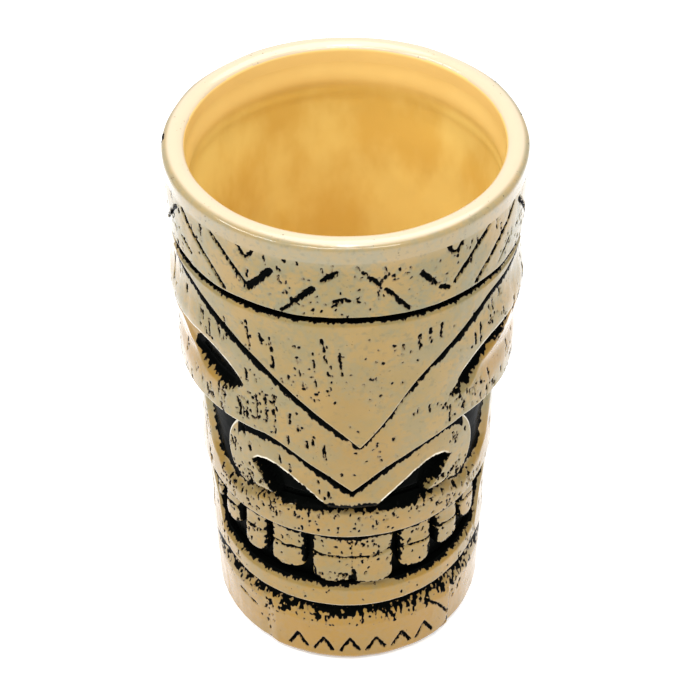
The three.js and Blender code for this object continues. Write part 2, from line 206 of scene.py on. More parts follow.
def crescent(t, z):
    """How far inside the black hollow round the nose's wing a place is."""
    a = np.abs(t)
    side = (60, 57), (61.8, 59.5), (63, 62), (65, 64.5), (70, 66.8), (75, 69), (80, 71), (88, 72.5)
    foot = (28, 62.4), (38, 61.4), (43, 60), (47, 59.2), (51, 59.8), (55, 60.8), (59, 62)
    outer = through(z, *side) + 1.0 * (t > 0)
    return np.minimum((outer - a) * MM_PER_DEG, z - through(a, *foot))


# ---- cuts drawn on the surface

INK_DEG, INK_MM, INK_FAR = 0.3, 0.22, 1.5
ink = np.full((round(360 / INK_DEG), round(160 / INK_MM)), -INK_FAR)
rng = np.random.default_rng(11)


def draw(points, width, taper=0.0):
    """Cuts a stroke along [angle, height] points. The map holds how far inside a cut each place is."""
    pad = width / 2 + INK_FAR
    for (a0, z0), (a1, z1) in zip(points[:-1], points[1:]):
        left, right = min(a0, a1) - pad / MM_PER_DEG, max(a0, a1) + pad / MM_PER_DEG
        low, high = max(0, min(z0, z1) - pad), max(z0, z1) + pad
        i = np.arange(math.floor(left / INK_DEG), math.ceil(right / INK_DEG) + 1)
        j = np.arange(math.floor(low / INK_MM), min(ink.shape[1], math.ceil(high / INK_MM) + 1))
        s, z = (i[:, None] * INK_DEG - a0) * MM_PER_DEG, j[None, :] * INK_MM - z0
        ds, dz = (a1 - a0) * MM_PER_DEG, z1 - z0
        along = np.clip((s * ds + z * dz) / (ds * ds + dz * dz + 1e-9), 0, 1)
        inside = width / 2 * (1 - taper * np.abs(2 * along - 1)) - np.hypot(s - along * ds, z - along * dz)
        at = np.ix_(i % ink.shape[0], j)
        ink[at] = np.maximum(ink[at], inside)


def read_ink(t, z):
    u, v = (t % 360) / INK_DEG, np.clip(z / INK_MM, 0, ink.shape[1] - 2)
    i, j = np.floor(u).astype(int), np.floor(v).astype(int)
    return between(ink, i, j, u - i, v - j)


def scratch(start, end, width, solid=0.75):
    """A straight stroke whose width swells and which breaks here and there."""
    (a0, z0), (a1, z1) = start, end
    length = math.hypot((a1 - a0) * MM_PER_DEG, z1 - z0)

    def at(run):
        return a0 + (a1 - a0) * run / length, z0 + (z1 - z0) * run / length

    run = 0.0
    while run < length:
        stop = min(run + rng.uniform(1.0, 3.2), length)
        draw([at(run), at(stop)], width * rng.uniform(0.75, 1.2), 0.15)
        run = stop + (rng.uniform(0.6, 1.3) if rng.random() > solid else 0.1)


def column(angle, high, low, lean=0.1, width=0.62, solid=0.7):
    """One upright row of short cuts and pits, like the grain of carved wood."""
    at = high
    while at > low:
        run = rng.choice([rng.uniform(0.1, 0.5), rng.uniform(0.8, 2.8)], p=[0.35, 0.65])
        run = min(run, max(at - low, 0.1))
        here = angle + lean * (high - at) + rng.uniform(-0.2, 0.2)
        foot = here + lean * run + rng.uniform(-0.15, 0.2)
        draw([(here, at), (foot, at - run)], width * rng.uniform(0.8, 1.35), 0.25)
        if rng.random() < 0.25:
            aside = here + rng.choice([-1.3, 1.3])
            draw([(aside, at - run), (aside, at - run - rng.uniform(0.1, 0.5))], width * 0.8)
        at -= run + (rng.uniform(0.3, 0.8) if rng.random() < solid else rng.uniform(1.2, 3.0))


def grain(angle, z, spread_deg, spread_mm, count, lengths=(1, 7), width=0.5):
    """A patch of upright columns of small cuts."""
    for _ in range(count):
        high = z + rng.uniform(-1, 1) * spread_mm
        at = angle + rng.uniform(-1, 1) * spread_deg
        low = high - rng.uniform(*lengths)
        column(at, high, low, width=width * rng.uniform(0.8, 1.2))


def pits(angle, z, spread_deg, spread_mm, count, width=(0.3, 0.65)):
    """A loose scatter of small pits."""
    for _ in range(count):
        a, h = angle + rng.normal() * spread_deg, z + rng.normal() * spread_mm
        draw([(a, h), (a + rng.uniform(-0.4, 0.4), h - rng.uniform(0.05, 0.6))], rng.uniform(*width))


def zigzag_valley(v, side):
    """A V under the lip with a longer line on its outer side; side is +1 or -1."""
    for points, width, taper in (
        (((1.0, 135.4), (8, 141.6), (15, 146.6)), 1.25, 0.3),
        (((10, 131.6), (15.6, 136.1), (25, 142.6), (29.6, 146.4)), 1.25, 0.25),
        (((-1.6, 146.8), (0, 144.6), (1.6, 144.3), (3.6, 146.9)), 1.1, 0.25),
    ):
        draw([(v + side * off, z) for off, z in points], width, taper)


def rim_zigzag():
    """Strokes under the lip: Vs between taller peaks, all the way round."""
    for v, side in ((-32.2, -1), (32.2, 1), (-94, -1), (94, 1), (-151, -1), (151, 1)):
        zigzag_valley(v, side)
        if abs(v) > 60:
            scratch((v, 134.8), (v - side * 9, 142.2), 1.5, 0.6)
            scratch((v - side * 12, 131.6), (v - side * 28, 145), 1.3, 0.7)
            pits(v - side * 28, 136, 8, 3, 20)
    scratch((-33, 134.9), (-25, 142.3), 1.8, 0.8)
    scratch((31, 134.4), (28.4, 135.6), 1.3)
    scratch((26.6, 137), (21.7, 141.4), 1.5)
    for start, end, width in (
        ((-21.4, 131.2), (-19, 133.2), 1.1), ((-18.3, 133.9), (-16.4, 135.5), 1.5),
        ((-15.8, 136.2), (-11.8, 139.3), 1.8), ((-8.8, 141.8), (-4.5, 144.4), 1.6),
        ((5.9, 142.7), (8, 140.5), 1.1), ((10.3, 138.9), (13.7, 135.8), 1.1),
        ((14.2, 135), (17.6, 131.8), 1.2), ((-5.5, 135.6), (-2.1, 136.4), 1.2),
        ((-5.7, 134.2), (-3, 135.4), 0.8), ((0.8, 135.5), (2.4, 135.5), 0.6),
        ((-63.2, 137.3), (-57.6, 134.9), 0.8), ((53.4, 132.4), (59.9, 136.9), 0.5),
    ):
        draw([start, end], width, 0.2)
    for a, z in ((4.1, 144.2), (1.5, 146), (-0.9, 136), (-22, 143.5), (-20.4, 146.7)):
        draw([(a, z), (a + 0.3, z - 0.3)], 0.8)
    pits(-10, 136, 8, 3, 40, (0.25, 0.5))
    pits(12, 143, 9, 2.5, 30, (0.25, 0.5))
    for k in range(12):
        grain(30 * k, 143, 14, 5, 8, (1, 5), 0.36)


def face_grain():
    """The grain that can be seen on the mask's front, then patches of it round the sides."""
    for angle, high, low, lean in (
        (-34.4, 124.3, 115.5, 0.15), (-29.5, 121.7, 118.6, 0.25), (-25.9, 121.4, 111, 0.1),
        (-19.8, 110.6, 109.2, 0), (-17.9, 120.6, 107, 0.2), (-12.1, 119, 103.8, 0.08),
        (-9.2, 123.5, 112, 0.14), (-3.8, 119.3, 112.4, 0.1), (16, 120.5, 117.2, 0),
        (21.5, 122.6, 117.9, 0), (25.2, 123.5, 120.2, 0), (29.2, 123.9, 117.6, -0.1),
        (33.8, 121.4, 119.3, -0.2), (-36, 107.6, 104, 0.1), (-32.3, 107.5, 104.8, 0),
        (-38.7, 95.2, 90.3, 0), (-36, 97, 91.4, 0), (-32.2, 100.4, 92.7, 0.04),
        (-28.9, 101.6, 92.6, 0.03), (-25.8, 102.2, 89.5, 0.03), (-20.5, 97.2, 94.2, 0.05),
        (-21.1, 89.9, 87, 0), (-14.8, 89.2, 85, 0.05), (-12.5, 91.1, 87.6, 0), (-9.1, 88.6, 83.2, 0.06),
        (-17.4, 94.2, 92.2, 0), (22, 97.8, 96.4, 0), (26, 97.6, 95.6, 0), (34, 94.6, 89.4, 0),
        (40.4, 93.6, 91.4, 0), (13.9, 90.2, 88.9, 0), (-41.6, 84, 81, 0.2), (-38.8, 80, 77, 0.2),
        (-32, 83, 81.6, 0.2), (-26, 80.2, 77.8, 0.2), (-22.2, 77.8, 75.4, 0.2),
        (-11.9, 74.4, 69.8, 0.08), (-8.4, 70.8, 67.2, 0.2),
    ):
        column(angle, high, low, lean)
    for angle, z in (
        (5.3, 123.2), (13.1, 120.8), (7.4, 116.3), (9.7, 115.7), (5.9, 111), (3.8, 109.1), (9.2, 105),
        (5.5, 104), (15.9, 108.3), (20.9, 114.6), (-0.6, 95.3), (33.4, 97), (15, 83.2), (1.1, 86.1),
        (9.4, 82.7), (-7.6, 107),
    ):
        draw([(angle, z), (angle + 0.2, z - 0.3)], rng.uniform(0.4, 0.7))
    draw([(34.4, 98.2), (37.6, 100.4)], 0.8)
    draw([(35.4, 97.8), (37.6, 98.3)], 2.0, 0.4)
    for patch in (
        (58, 107, 3, 2, 20, (0.4, 0.9)), (-30, 98, 6, 5, 46, (0.25, 0.5)),
        (-12, 112, 7, 6, 26, (0.25, 0.45)), (12, 112, 9, 7, 16, (0.25, 0.45)),
        (6, 88, 6, 6, 14, (0.25, 0.45)), (34, 92, 5, 3, 22, (0.3, 0.6)),
    ):
        pits(*patch)
    for side in (-1, 1):
        for angle, *patch in (
            (50, 118, 8, 5, 9), (78, 119, 14, 6, 14), (106, 118, 14, 7, 14), (44, 96, 5, 2, 7, (1, 4)),
            (56, 95, 12, 4, 14, (1, 5), 0.42), (84, 94, 20, 6, 22, (1, 6), 0.42), (110, 92, 12, 8, 12),
            (44, 80, 5, 4, 7, (1, 4)), (90, 74, 24, 9, 20, (1, 6), 0.42), (96, 55, 22, 14, 22),
            (30, 57, 26, 3, 16, (0.4, 2.2), 0.45), (62, 59, 10, 3, 8, (1, 3)),
            (58, 31, 10, 3, 9, (0.6, 2.5), 0.45), (92, 36, 24, 9, 18, (1, 5)),
        ):
            grain(side * angle, *patch)
        pits(side * 40, 66.5, 6, 2.4, 70, (0.3, 0.7))
        pits(side * 24, 60, 14, 1.2, 46, (0.3, 0.65))
        pits(side * 47, 57.5, 7, 2.5, 30, (0.3, 0.6))
    pits(0, 56, 20, 2.4, 24, (0.25, 0.5))
    pits(0, 28.5, 34, 2, 16, (0.25, 0.5))
    for start, end, *_ in TEETH.values():
        pits((start + end) / 2, 43, 4, 5, 16, (0.3, 0.7))
    draw([(0.6, 38.0), (1.2, 35.6), (0.4, 33.6)], 1.5, 0.3)
    pits(-6, 36, 5, 1.2, 18, (0.4, 0.8))
    pits(2, 48.4, 4, 1.2, 26, (0.35, 0.7))


def back_grain():
    """Long carved grooves on the plain back, with small cuts between them."""
    across = 360 - 2 * BACK_START - 10
    for k in range(15):
        a = BACK_START + 5 + k * across / 14 + rng.uniform(-1.2, 1.2)
        at = 124 - rng.uniform(0, 14)
        while at > 34:
            end = max(at - rng.uniform(9, 34), 30)
            lean = rng.uniform(-0.8, 0.8)
            draw([(a, at), (a + lean, (at + end) / 2), (a + lean * 0.4, end)], rng.uniform(0.6, 1.2), 0.7)
            at = end - rng.uniform(2, 8)
    for k in range(7):
        grain(BACK_START + 8 + k * 15, 78, 8, 42, 16)


def base_marks():
    """The cracks beside the plaque, and a plain row of chevrons on it."""
    draw([(-54.2, 14.8), (-49, 14.1)], 1.0, 0.4)
    draw([(-47.6, 13.9), (-43.7, 13.0)], 0.9, 0.4)
    draw([(32.7, 18.3), (39.4, 13.6), (45.8, 6.7), (45.3, 3.4), (39.4, 1.4)], 0.8, 0.1)
    scratch((45.6, 7.5), (46.4, 13.6), 1.0, 0.9)
    pits(50, 15, 3, 1, 9, (0.4, 0.8))
    pits(-38, 12, 2, 4, 16, (0.3, 0.6))
    for k in range(6):
        tip = sum(PLAQUE) / 2 + 11 * (k - 2.5)
        draw([(tip - 3.9, 4.7), (tip, 9.5)], 1.0, 0.15)
        draw([(tip, 9.5), (tip + 3.9, 4.9)], 1.15, 0.15)
    pits(0, 21, 26, 1.0, 60, (0.4, 0.8))


rim_zigzag()
face_grain()
back_grain()
base_marks()


# ---- meshes

EDGE_ROWS = np.array([0, 0.12, 0.28, 0.46, 0.68, 0.95, 1.3])
CUT_DEPTH = 0.7
SHARP_ANGLE = 62


def stations(start, end, fine=0.42, coarse=0.9):
    """Angles from start to end, closer together on the front of the mug."""
    runs = (-180, -80, coarse), (-80, 80, fine), (80, 480, coarse)
    cuts = np.concatenate([np.arange(*run) for run in runs])
    return np.concatenate([[start], cuts[(cuts > start + 0.1) & (cuts < end - 0.1)], [end]])


def grid_body(r, theta, z, ring):
    """Points and faces of a closed body from sections, each a loop of points at one angle."""
    n, m = r.shape
    a = np.radians(theta)[:, None] * np.ones((1, m))
    points = np.stack([r * np.sin(a), -r * np.cos(a), z], -1).reshape(-1, 3) * M
    i = np.arange(n if ring else n - 1)[:, None]
    k = np.arange(m)[None, :]
    nxt, up = (i + 1) % n, (k + 1) % m
    faces = np.stack([i * m + k, nxt * m + k, nxt * m + up, i * m + up], -1).reshape(-1, 4).tolist()
    if not ring:
        faces += [list(range(m)), [(n - 1) * m + q for q in reversed(range(m))]]
    return points, faces


def make_mesh(name, bodies):
    """One mesh from several grid bodies, each with its own values at every point."""
    points, faces, values = [], [], {}
    for body_points, body_faces, body_values in bodies:
        start = sum(len(p) for p in points)
        points.append(body_points)
        faces += [[start + q for q in face] for face in body_faces]
        for key, value in body_values.items():
            values.setdefault(key, []).append(np.asarray(value, dtype=np.float32).ravel())
    mesh = bpy.data.meshes.new(name)
    mesh.from_pydata(np.concatenate(points).tolist(), [], faces)
    for key, parts in values.items():
        layer = mesh.attributes.new(key, "FLOAT", "POINT")
        layer.data.foreach_set("value", np.concatenate(parts))
    mesh.update()
    mesh.shade_smooth()
    mesh.set_sharp_from_angle(angle=math.radians(SHARP_ANGLE))
    return mesh


def finish_piece(name, mesh, node, slot, *materials):
    obj = bpy.data.objects.new(name, mesh)
    bpy.context.scene.collection.objects.link(obj)
    for material in materials:
        mesh.materials.append(material)
    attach(obj, "root")
    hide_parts(node)


def rounded(d, reach):
    """The radius lost near a crisp edge with a small round, at a distance from it."""
    d = np.clip(d, 0, reach)
    return reach - np.sqrt(np.maximum(reach * reach - (reach - d) ** 2, 0))


def dipped(d, depth, reach):
    """The radius lost where a face slopes down under the member beside it."""
    return depth * (1 - smooth(d, 0, reach))


class Face:
    """The outer face of a curved block: a column of points at each angle, with distances to its edges."""

    def __init__(self, angles, low, high, step):
        self.start, self.end = angles[0], angles[-1]
        zl, zh = low(angles), high(angles)
        tall = (zh - zl)[:, None]
        self.lean_low, self.lean_high = (self.lean(angles, line) for line in (zl, zh))
        share = np.minimum(1, tall / (2.5 * EDGE_ROWS[-1] * (self.lean_low + self.lean_high)))
        near_low, near_high = (EDGE_ROWS * lean * share for lean in (self.lean_low, self.lean_high))
        count = max(4, round(float(tall.max()) / step))
        between = np.linspace(0, 1, count)[None, 1:-1]
        inner = near_low[:, -1:] + (tall - near_low[:, -1:] - near_high[:, -1:]) * between
        rows = np.concatenate([near_low, inner, tall - near_high[:, ::-1]], 1)
        self.z = zl[:, None] + rows
        self.t = angles[:, None] * np.ones_like(self.z)
        self.a = np.abs(self.t)
        self.low, self.high = rows / self.lean_low, (tall - rows) / self.lean_high
        self.side = np.minimum(self.t - self.start, self.end - self.t) * MM_PER_DEG

    @staticmethod
    def lean(angles, line):
        slope = np.gradient(line, angles * MM_PER_DEG)
        return np.sqrt(1 + np.clip(slope, -2, 2) ** 2)[:, None]


def side_round(f):
    """The radius lost at the end of a member that runs round the side to the back panel."""
    return rounded((FACE_SIDE - f.a) * MM_PER_DEG, 1.0)


def relief(t, z):
    """The small unevenness of hand-carved clay under glaze."""
    return 0.11 * noise(t, z, 11, 9, 1) + 0.05 * noise(t, z, 3, 6, 2) + 0.02 * noise(t, z, 1.2, 1.6, 3)


def member(
    node, slot, material, spans, low, high, shape, wash, amber, edge=None, cream=None, step=0.45, ring=False
):
    """One member of the mask, from one curved block for each span of angles. Each block has two more
    points at every angle, inside the black ground."""
    bodies, more = [], ((0, 0), (0, 2))
    for angles in spans:
        f = Face(angles, low, high, step)
        inside = read_ink(f.t, f.z) + 0.1 * noise(f.t, f.z, 0.9, 0.6, 5)
        r = shape(f) + relief(f.t, f.z) - CUT_DEPTH * smooth(inside, -0.15, 0.45)
        black = np.clip(np.maximum(wash(f), inside), -INK_FAR, INK_FAR)
        back = np.concatenate([f.z[:, -1:], f.z[:, :1]], 1)
        radii, heights = np.concatenate([r, ground_radius(back) + 0.3], 1), np.concatenate([f.z, back], 1)
        points, faces = grid_body(radii, angles, heights, ring)
        # edge: the pale line along crisp edges, thin glaze with a painted highlight
        tints = {"amber": amber(f), "edge": edge(f) if edge else 0, "cream": cream(f) if cream else 0}
        values = {key: np.pad(value * np.ones_like(r), more, mode="edge") for key, value in tints.items()}
        values["wash"] = np.pad(black, more, constant_values=INK_FAR)
        bodies.append((points, faces, values))
    finish_piece(node + "_glazed", make_mesh(node + "_glazed", bodies), node, slot, material)


def bright(d, reach=0.75):
    """The pale line along an edge, where the glaze runs thin, and a painted highlight on the edge's small
    round.
    """
    return 1 - smooth(d, 0.3 * reach, 0.9 * reach)


def ragged(f, seed):
    """How far a wash runs on past its edge, in thin upright tongues."""
    long, thin = noise(f.t, f.z, 1.7, 3.2, seed), noise(f.t, f.z, 0.8, 1.0, seed + 1)
    return 0.6 * long + 0.6 * thin


def pool(f, proud, gap, width):
    """Wash in the corner under a ledge that stands proud by some millimetres: it fills the corner to
    a slanting line and runs out by a further width."""
    return width + np.maximum(proud - gap, -0.5) / f.lean_high - f.high


# ---- materials


class Nodes:
    """Short ways to add and join shader nodes."""

    def __init__(self, name):
        self.material = bpy.data.materials.new(name)
        self.material.use_nodes = True
        self.tree = self.material.node_tree
        self.tree.nodes.clear()
        out = self.tree.nodes.new("ShaderNodeOutputMaterial")
        self.shader = self.tree.nodes.new("ShaderNodeBsdfPrincipled")
        self.tree.links.new(self.shader.outputs[0], out.inputs["Surface"])
        self.place = self.tree.nodes.new("ShaderNodeTexCoord").outputs["Object"]

    def set(self, name, value):
        self.fill(self.shader.inputs[name], value)

    def attribute(self, name):
        node = self.tree.nodes.new("ShaderNodeAttribute")
        node.attribute_name = name
        return node.outputs["Fac"]

    def noise(self, scale, detail=3.0, stretch=None, rough=0.5):
        node = self.tree.nodes.new("ShaderNodeTexNoise")
        for name, value in (("Scale", scale), ("Detail", detail), ("Roughness", rough)):
            node.inputs[name].default_value = value
        place = self.place
        if stretch:
            mapping = self.tree.nodes.new("ShaderNodeMapping")
            mapping.inputs["Scale"].default_value = stretch
            self.tree.links.new(place, mapping.inputs["Vector"])
            place = mapping.outputs[0]
        self.tree.links.new(place, node.inputs["Vector"])
        return node.outputs["Fac"]

    def math(self, kind, *values):
        node = self.tree.nodes.new("ShaderNodeMath")
        node.operation = kind
        for socket, value in zip(node.inputs, values):
            self.fill(socket, value)
        return node.outputs[0]

    def ramp(self, value, low, high, to_low=0.0, to_high=1.0):
        node = self.tree.nodes.new("ShaderNodeMapRange")
        node.interpolation_type = "SMOOTHSTEP"
        for socket, number in zip(node.inputs[1:5], (low, high, to_low, to_high)):
            socket.default_value = number
        self.tree.links.new(value, node.inputs[0])
        return node.outputs[0]

    def mix(self, share, a, b):
        node = self.tree.nodes.new("ShaderNodeMix")
        node.data_type = "RGBA"
        colours = [s for s in node.inputs if s.type == "RGBA"]
        self.fill(node.inputs["Factor"], share)
        self.fill(colours[0], a)
        self.fill(colours[1], b)
        return [s for s in node.outputs if s.type == "RGBA"][0]

    def fill(self, socket, value):
        if isinstance(value, tuple):
            socket.default_value = (*value, 1)
        elif isinstance(value, (int, float)):
            socket.default_value = value
        else:
            self.tree.links.new(value, socket)

    def bump(self, height, distance, strength=1.0, under=None):
        node = self.tree.nodes.new("ShaderNodeBump")
        node.inputs["Strength"].default_value = strength
        node.inputs["Distance"].default_value = distance
        self.tree.links.new(height, node.inputs["Height"])
        if under is not None:
            self.tree.links.new(under, node.inputs["Normal"])
        return node.outputs[0]


def srgb(*parts):
    """A screen colour in parts of 255, as a linear one."""
    return tuple(((c / 255 + 0.055) / 1.055) ** 2.4 if c > 10 else c / 3294 for c in parts)


TAN, PEACH, FILM, HAZE = srgb(140, 118, 65), srgb(150, 122, 64), srgb(123, 115, 80), srgb(102, 96, 64)
AMBER, DEEP_AMBER = srgb(144, 110, 40), srgb(150, 112, 30)
CREAM, EDGE_GLAZE_AND_HIGHLIGHT, RUST, BLACK = srgb(200, 182, 152), srgb(240, 232, 210), srgb(104, 76, 44), srgb(5, 6, 5)


def mask_glaze(name, deep, coat=0.15):
    """Glossy glaze over clay, with a thin grey film, pale edges where the glaze runs thin and a painted
    highlight lies along them, and black wash in the cuts.
    """
    n = Nodes(name)
    colour = n.mix(n.ramp(n.noise(70, 3), 0.42, 0.6), TAN, PEACH)
    amber = n.math("MULTIPLY_ADD", n.math("SUBTRACT", n.noise(90, 2), 0.5), 0.6, n.attribute("amber"))
    colour = n.mix(n.ramp(amber, 0.0, 1.0), colour, deep)
    wash = n.attribute("wash")
    near = n.ramp(wash, -1.0, 0.0)
    patches = n.math("MULTIPLY_ADD", n.noise(800, 3), 0.35, n.noise(100, 4, rough=0.6))
    film = n.math("MULTIPLY_ADD", near, 0.12, patches)
    thin = n.math("MULTIPLY_ADD", n.attribute("amber"), -0.7, 1.0)
    colour = n.mix(n.math("MULTIPLY", n.ramp(film, 0.58, 0.84, 0.0, 0.7), thin), colour, FILM)
    colour = n.mix(n.math("MULTIPLY", n.ramp(n.noise(650, 3), 0.56, 0.72, 0.0, 0.45), thin), colour, HAZE)
    colour = n.mix(n.ramp(n.attribute("cream"), 0.0, 1.0), colour, CREAM)
    # pale edges: glaze running thin, with a painted highlight along the same line
    pale_and_highlight = n.math("MULTIPLY", n.attribute("edge"), n.ramp(n.noise(350, 2), 0.3, 0.6, 0.35, 0.95))
    colour = n.mix(pale_and_highlight, colour, EDGE_GLAZE_AND_HIGHLIGHT)
    fray = n.math("SUBTRACT", n.noise(1300, 3, (1, 1, 0.45)), 0.5)
    frayed = n.math("MULTIPLY_ADD", fray, 1.6, wash)
    black = n.ramp(frayed, -0.03, 0.05)
    specks = n.ramp(n.noise(1500, 2, (1, 1, 0.7)), 0.69, 0.72)
    speckled = n.math("MULTIPLY", specks, n.ramp(n.noise(110, 3), 0.5, 0.64))
    black = n.math("MAXIMUM", black, n.math("MULTIPLY", speckled, 0.8))
    colour = n.mix(n.ramp(frayed, -0.2, 0.0, 0.0, 0.6), colour, RUST)
    colour = n.mix(black, colour, BLACK)
    n.set("Base Color", colour)
    n.set("Roughness", n.ramp(n.noise(200, 3), 0.3, 0.7, 0.14, 0.24))
    n.set("Specular IOR Level", n.math("MULTIPLY_ADD", black, -0.345, 0.35))
    n.set("Coat Weight", n.math("MULTIPLY_ADD", black, -coat, coat))
    n.set("Coat Roughness", 0.05)
    peel = n.bump(n.noise(380, 3), 0.00012, 0.6)
    n.set("Normal", n.bump(n.math("MULTIPLY", black, -1), 0.0001, 0.6, peel))
    return n.material


def lining_glaze(name):
    """Clear amber glaze in random patches of two ambers, made much paler towards the floor of the cup as
    painted light where the cavity is in shade.
    """
    n = Nodes(name)
    pool_low = n.ramp(n.noise(50, 4, (1, 1, 0.6)), 0.38, 0.62)
    colour = n.mix(pool_low, srgb(235, 205, 120), srgb(220, 181, 92))
    # painted light: near-white amber low in the cup, where the cavity is in shade
    colour = n.mix(n.attribute("deep"), colour, n.mix(pool_low, srgb(252, 240, 204), srgb(247, 228, 168)))
    n.set("Base Color", n.mix(n.ramp(n.attribute("cream"), 0, 1), colour, srgb(240, 204, 128)))
    n.set("Roughness", n.ramp(n.noise(60, 2), 0.3, 0.7, 0.12, 0.24))
    n.set("Coat Weight", 0.3)
    n.set("Coat Roughness", 0.05)
    n.set("Normal", n.bump(n.noise(120, 2), 0.0002, 0.4))
    return n.material


def black_wash(name):
    n = Nodes(name)
    # pale specks scattered over the black are painted glints
    n.set("Base Color", n.mix(n.ramp(n.noise(700, 4, (1, 1, 0.4)), 0.72, 0.78), BLACK, srgb(70, 60, 44)))
    n.set("Roughness", n.ramp(n.noise(300, 2), 0.3, 0.7, 0.2, 0.38))
    n.set("Specular IOR Level", 0.005)
    n.set("Normal", n.bump(n.noise(600, 4), 0.0003, 0.6))
    return n.material


def bare_clay(name):
    n = Nodes(name)
    colour = n.mix(n.ramp(n.noise(160, 4), 0.35, 0.65), srgb(226, 212, 186), srgb(206, 188, 158))
    n.set("Base Color", n.mix(n.ramp(n.noise(1500, 2), 0.66, 0.72, 0, 0.5), colour, srgb(150, 128, 98)))
    n.set("Roughness", n.ramp(n.noise(500, 2), 0.3, 0.7, 0.72, 0.92))
    n.set("Normal", n.bump(n.noise(1800, 4), 0.0002, 0.7))
    return n.material


GLAZE = mask_glaze("mask_glaze", AMBER)
AMBER_GLAZE = mask_glaze("amber_glaze", DEEP_AMBER)
LIP_GLAZE = mask_glaze("lip_glaze", AMBER, 0.7)
LINING = lining_glaze("lining_glaze")
WASH = black_wash("black_wash")
CLAY = bare_clay("bare_clay")


# ---- the cup


def turned(
    name, node, slot, materials, radii, heights, step, values, wobble=None, underside=None, inner=None
):
    """A member turned about the mug's axis from a closed loop of radii and heights. Its second material
    covers what is lower than underside or nearer the axis than inner."""
    theta = np.arange(-180, 180, step)
    r, z = (np.ones((len(theta), 1)) * np.asarray(part)[None, :] for part in (radii, heights))
    t = theta[:, None] * np.ones_like(r)
    if wobble is not None:
        dr, dz = wobble(t, r, z)
        r, z = r + dr, z + dz
    points, faces = grid_body(r, theta, z, True)
    mesh = make_mesh(name, [(points, faces, {key: value(t, r, z) for key, value in values.items()})])
    finish_piece(name, mesh, node, slot, *materials)
    for face in mesh.polygons:
        below = underside is not None and face.center.z < underside * M
        inside = inner is not None and face.center.xy.length < inner * M
        face.material_index = int(below or inside)


def arc(centre, radius, start, end, count):
    a = np.radians(np.linspace(start, end, count))
    return centre[0] + radius * np.cos(a), centre[1] + radius * np.sin(a)


def wall_heights(low, high, step=0.8):
    return np.linspace(low, high, max(2, round((high - low) / step)))


def inner_face(z):
    """The glazed wall: a thick band under the lip, a soft step, then the taper to the floor."""
    band = smooth(z, 138.0, 141.5)
    hollow = 0.75 * smooth(z, 118, 136)
    return (cavity_radius(z) + hollow) * (1 - band) + (38.9 + 0.5 * smooth(z, 142, LIP_LOW)) * band


def glaze_lining():
    centre = (CAVITY_FLOOR_RADIUS + 0.3 - FLOOR_FILLET, CAVITY_FLOOR + FLOOR_FILLET)
    fillet_r, fillet_z = arc(centre, FLOOR_FILLET, 270, 356, 14)
    z = wall_heights(fillet_z[-1] + 0.8, LIP_LOW)
    floor = np.linspace(0.02, fillet_r[0] - 1, 24)
    face_r = np.concatenate([floor, fillet_r, inner_face(z)])
    face_z = np.concatenate([np.full(24, CAVITY_FLOOR), fillet_z, z])
    back_r = np.maximum(face_r[::-3] + 0.7, 0.02)
    back_z = face_z[::-3] - 0.7 * (face_r[::-3] < fillet_r[0])
    back_r[-1], back_z[-1] = 0.02, CAVITY_FLOOR - 0.7

    def wobble(t, r, z):
        soft = smooth(r, 4, 22)
        swell = 0.55 * noise(t, z, 24, 22, 21) + 0.28 * noise(t, z, 13, 11, 22)
        swell += 0.04 * noise(t, z, 5, 4, 23)
        step = -0.35 * bump(z, 139 + 2.2 * noise(t, z * 0, 40, 30, 24), 1.6)
        dr = soft * (swell * (1 - smooth(z, 128, 145)) + step)
        return dr, 0.35 * noise(t, r * 3, 30, 20, 25) * (1 - smooth(z, 9.5, 16)) * soft

    values = {
        "cream": lambda t, r, z: 0.7 * smooth(z, 137, 143),
        # deep: how strongly the painted light low in the cup shows, rising towards the floor
        "deep": lambda t, r, z: smooth(-z, -96, -30),
    }
    radii, heights = np.concatenate([face_r, back_r])[::-1], np.concatenate([face_z, back_z])[::-1]
    name = "inner_glaze_lining"
    turned(name + "_glazed", name, "lining_glaze", [LINING], radii, heights, 1.5, values, wobble)


def mouth_lip():
    """A nearly flat lip with a small round outside and a larger one inside."""
    outer_r, outer_z = arc((LIP_RADIUS - 1.3, HEIGHT - 1.8), 1.3, 0, 58, 8)
    inner_r, inner_z = arc((40.9, HEIGHT - 1.9), 1.5, 118, 180, 8)
    top_r = np.linspace(outer_r[-1], inner_r[0], 12)[1:-1]
    peak = 42.2
    ends = np.where(top_r > peak, outer_z[-1], inner_z[0])
    reach = np.where(top_r > peak, outer_r[-1] - peak, peak - inner_r[0])
    crown = HEIGHT - 0.05
    top_z = crown - (crown - ends) * ((top_r - peak) / reach) ** 2
    side_z = np.linspace(LIP_LOW, outer_z[0], 8)[:-1]
    inside = inner_r[-1]
    radii = np.concatenate([np.full(7, LIP_RADIUS), outer_r, top_r, inner_r, [inside, inside]])
    heights = np.concatenate([side_z, outer_z, top_z, inner_z, [LIP_LOW + 0.8, LIP_LOW]])

    def wobble(t, r, z):
        up = smooth(z, LIP_LOW, HEIGHT)
        dr = 0.16 * noise(t, z, 14, 9, 32) * up + 0.11 * noise(t, z, 11, 9, 1) * smooth(r, 41, 44)
        return dr, 0.2 * noise(t, t * 0, 45, 30, 31) * up

    def outside(t, r, z):
        side = 0.8 * smooth(np.abs(t), 45, 100) * smooth(r, 43.4, 44.6)
        return -1.1 + 0.8 * noise(t, z, 7, 2.5, 33) * smooth(r, 43.6, 44.6) + side

    values = {
        "wash": outside,
        "amber": lambda t, r, z: 0.4 * noise(t, z, 25, 14, 52) - 0.4,
        "cream": lambda t, r, z: 0.25 + 0.75 * smooth(-r, -44.4, -42.9),
    }
    materials = [LIP_GLAZE, LINING]
    turned(
        "mouth_lip_glazed", "mouth_lip", "lip_glaze", materials, radii, heights, 1.0, values, wobble,
        inner=CAVITY_MOUTH_RADIUS,
    )


